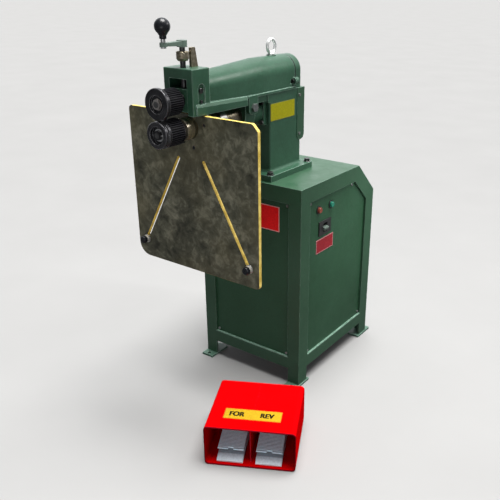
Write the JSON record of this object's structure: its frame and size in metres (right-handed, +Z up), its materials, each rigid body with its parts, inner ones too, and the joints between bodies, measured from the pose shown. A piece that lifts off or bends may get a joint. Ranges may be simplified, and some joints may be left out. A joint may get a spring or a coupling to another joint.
{
  "type": "crimper beader machine",
  "caption": "Motorised crimping and beading machine: geared rolls on a long cast head, screw-down crank, gauge plate, cabinet stand and twin foot switch.",
  "frame": {"origin": "floor level, centre of the four anchor holes", "axes": "+X to the control side, +Y to the back away from the rolls, +Z up"},
  "size_m": [0.6618, 0.9665, 1.1955],
  "materials": {
    "cabinet_green": "semi-gloss enamel",
    "cast_green": "enamel over casting",
    "bare_sheet": "mill finish",
    "motor_grey": "satin",
    "chain_steel": "oiled",
    "screw_steel": "zinc plated",
    "roll_black": "black oxide",
    "gear_steel": "hobbed and oiled",
    "shaft_steel": "ground",
    "tube_steel": "turned and aged",
    "eye_zinc": "bright zinc",
    "bronze": "dull bronze",
    "knob_black": "phenolic",
    "gauge_dark": "worn dark plate with yellow edges",
    "flange_steel": "machined",
    "clamp_steel": "plated",
    "label_metal": "printed bare plate",
    "control_black": "moulded",
    "button_red": "moulded",
    "button_green": "moulded",
    "hood_red": "gloss enamel",
    "pedal_grey": "painted grey casting"
  },
  "bodies": {
    "root": {"cabinet_frame": "cabinet_green", "foot_plates": "cabinet_green", "front_panel": "cabinet_green", "side_panels": "cabinet_green", "rear_panel": "cabinet_green", "base_tray": "bare_sheet", "cover_screws": "screw_steel", "gearbox": "motor_grey", "motor": "motor_grey", "chain": "chain_steel", "control_box": "motor_grey", "cable_glands": "control_black", "column": "cast_green", "casting_fasteners": "screw_steel", "lower_arm": "cast_green", "arm_tube": "tube_steel", "ring_nut": "tube_steel", "lower_bushes": "bronze", "head_casting": "cast_green", "rear_cap": "cast_green", "rear_lower_cover": "cabinet_green", "eye_bolt": "eye_zinc", "stop_post": "bronze", "label_plates": "label_metal", "button_bezels": "control_black", "switch_body": "control_black", "foot_guard": "hood_red", "pedal_bases": "pedal_grey"},
    "lower_rolls": {"lower_shaft": "shaft_steel", "lower_gear": "gear_steel", "driven_sprocket": "chain_steel", "lower_crimp_roll": "roll_black", "lower_disc_roll": "roll_black", "lower_roll_nut": "shaft_steel"},
    "gearbox_output": {"output_shaft": "chain_steel", "drive_sprocket": "chain_steel"},
    "block": {"slide_block": "cast_green"},
    "bushes": {"upper_bushes": "bronze"},
    "upper_rolls": {"upper_shaft": "shaft_steel", "upper_gear": "gear_steel", "upper_crimp_roll": "roll_black", "upper_disc_roll": "roll_black", "upper_roll_nut": "shaft_steel"},
    "crank": {"lift_screw": "shaft_steel", "crank_arm": "cast_green", "crank_pin": "shaft_steel"},
    "crank_grip": {"crank_knob": "knob_black"},
    "lock_nut": {"stop_nut": "bronze"},
    "gauge": {"gauge_plate": "gauge_dark", "gauge_flange": "flange_steel", "plate_screws": "screw_steel"},
    "left_clamp": {"clamp_stud_left": "clamp_steel"},
    "left_clamp_knob": {"clamp_knob_left": "knob_black"},
    "right_clamp": {"clamp_stud_right": "clamp_steel"},
    "right_clamp_knob": {"clamp_knob_right": "knob_black"},
    "stop_button": {"red_button": "button_red"},
    "start_button": {"green_button": "button_green"},
    "main_switch": {"switch_lever": "control_black"},
    "pedal_forward": {"forward_pedal": "pedal_grey"},
    "pedal_reverse": {"reverse_pedal": "pedal_grey"}
  },
  "joints": [
    {"name": "lower_spin", "type": "hinge", "parent": "root", "child": "lower_rolls", "pos_m": [0, 0, 0.9075], "axis": [0, 1, 0], "continuous": true},
    {"name": "block_lift", "type": "slide", "parent": "root", "child": "block", "axis": [0, 0, 1], "range_m": [0, 0.0175]},
    {"name": "upper_tilt", "type": "hinge", "parent": "root", "child": "bushes", "pos_m": [0, -0.067, 0.9865], "axis": [-1, 0, 0], "range_deg": [0, 2.35]},
    {"name": "upper_spin", "type": "hinge", "parent": "bushes", "child": "upper_rolls", "pos_m": [0, 0, 0.9865], "axis": [0, 1, 0], "continuous": true},
    {"name": "gearbox_spin", "type": "hinge", "parent": "root", "child": "gearbox_output", "pos_m": [0, 0, 0.175], "axis": [0, 1, 0], "continuous": true},
    {"name": "crank_turn", "type": "hinge", "parent": "block", "child": "crank", "pos_m": [0, -0.502, 1.1], "axis": [0, 0, 1], "range_deg": [0, 2521]},
    {"name": "crank_grip_spin", "type": "hinge", "parent": "crank", "child": "crank_grip", "pos_m": [0, -0.569, 1.15], "axis": [0, 0, 1], "continuous": true},
    {"name": "lock_nut_turn", "type": "hinge", "parent": "crank", "child": "lock_nut", "pos_m": [0, -0.502, 1.1], "axis": [0, 0, 1], "range_deg": [-90, 90]},
    {"name": "gauge_slide", "type": "slide", "parent": "root", "child": "gauge", "axis": [0, 1, 0], "range_m": [-0.02, 0.045]},
    {"name": "stop_button_press", "type": "slide", "parent": "root", "child": "stop_button", "axis": [-1, 0, 0], "range_m": [0, 0.004], "stiffness_N_per_m": 500, "springref_m": -0.001},
    {"name": "start_button_press", "type": "slide", "parent": "root", "child": "start_button", "axis": [-1, 0, 0], "range_m": [0, 0.004], "stiffness_N_per_m": 500, "springref_m": -0.001},
    {"name": "main_switch_throw", "type": "hinge", "parent": "root", "child": "main_switch", "pos_m": [0.195, -0.0865, 0.539], "axis": [0, -1, 0], "range_deg": [0, 50]},
    {"name": "pedal_forward_press", "type": "hinge", "parent": "root", "child": "pedal_forward", "pos_m": [0.18299, -0.53012, 0.04], "axis": [0.8864, 0.463, 0], "range_deg": [0, 6], "stiffness_Nm_per_rad": 8, "springref_deg": -5.73},
    {"name": "pedal_reverse_press", "type": "hinge", "parent": "root", "child": "pedal_reverse", "pos_m": [0.2827, -0.47803, 0.04], "axis": [0.8864, 0.463, 0], "range_deg": [0, 6], "stiffness_Nm_per_rad": 8, "springref_deg": -5.73},
    {"name": "left_clamp_slide", "type": "slide", "parent": "gauge", "child": "left_clamp", "axis": [0.4813, 0, 0.8766], "range_m": [0, 0.31]},
    {"name": "left_clamp_turn", "type": "hinge", "parent": "left_clamp", "child": "left_clamp_knob", "pos_m": [-0.201, -0.5, 0.536], "axis": [0, 1, 0], "range_deg": [-180, 180]},
    {"name": "right_clamp_slide", "type": "slide", "parent": "gauge", "child": "right_clamp", "axis": [-0.4813, 0, 0.8766], "range_m": [0, 0.31]},
    {"name": "right_clamp_turn", "type": "hinge", "parent": "right_clamp", "child": "right_clamp_knob", "pos_m": [0.201, -0.5, 0.536], "axis": [0, 1, 0], "range_deg": [-180, 180]}
  ],
  "couplings": [
    {"joint": "upper_spin", "follows": "lower_spin", "ratio": -1},
    {"joint": "gearbox_spin", "follows": "lower_spin", "ratio": 1},
    {"joint": "upper_tilt", "follows": "block_lift", "rad_per_m": 2.3229},
    {"joint": "crank_turn", "follows": "block_lift", "rad_per_m": 2513.3}
  ]
}
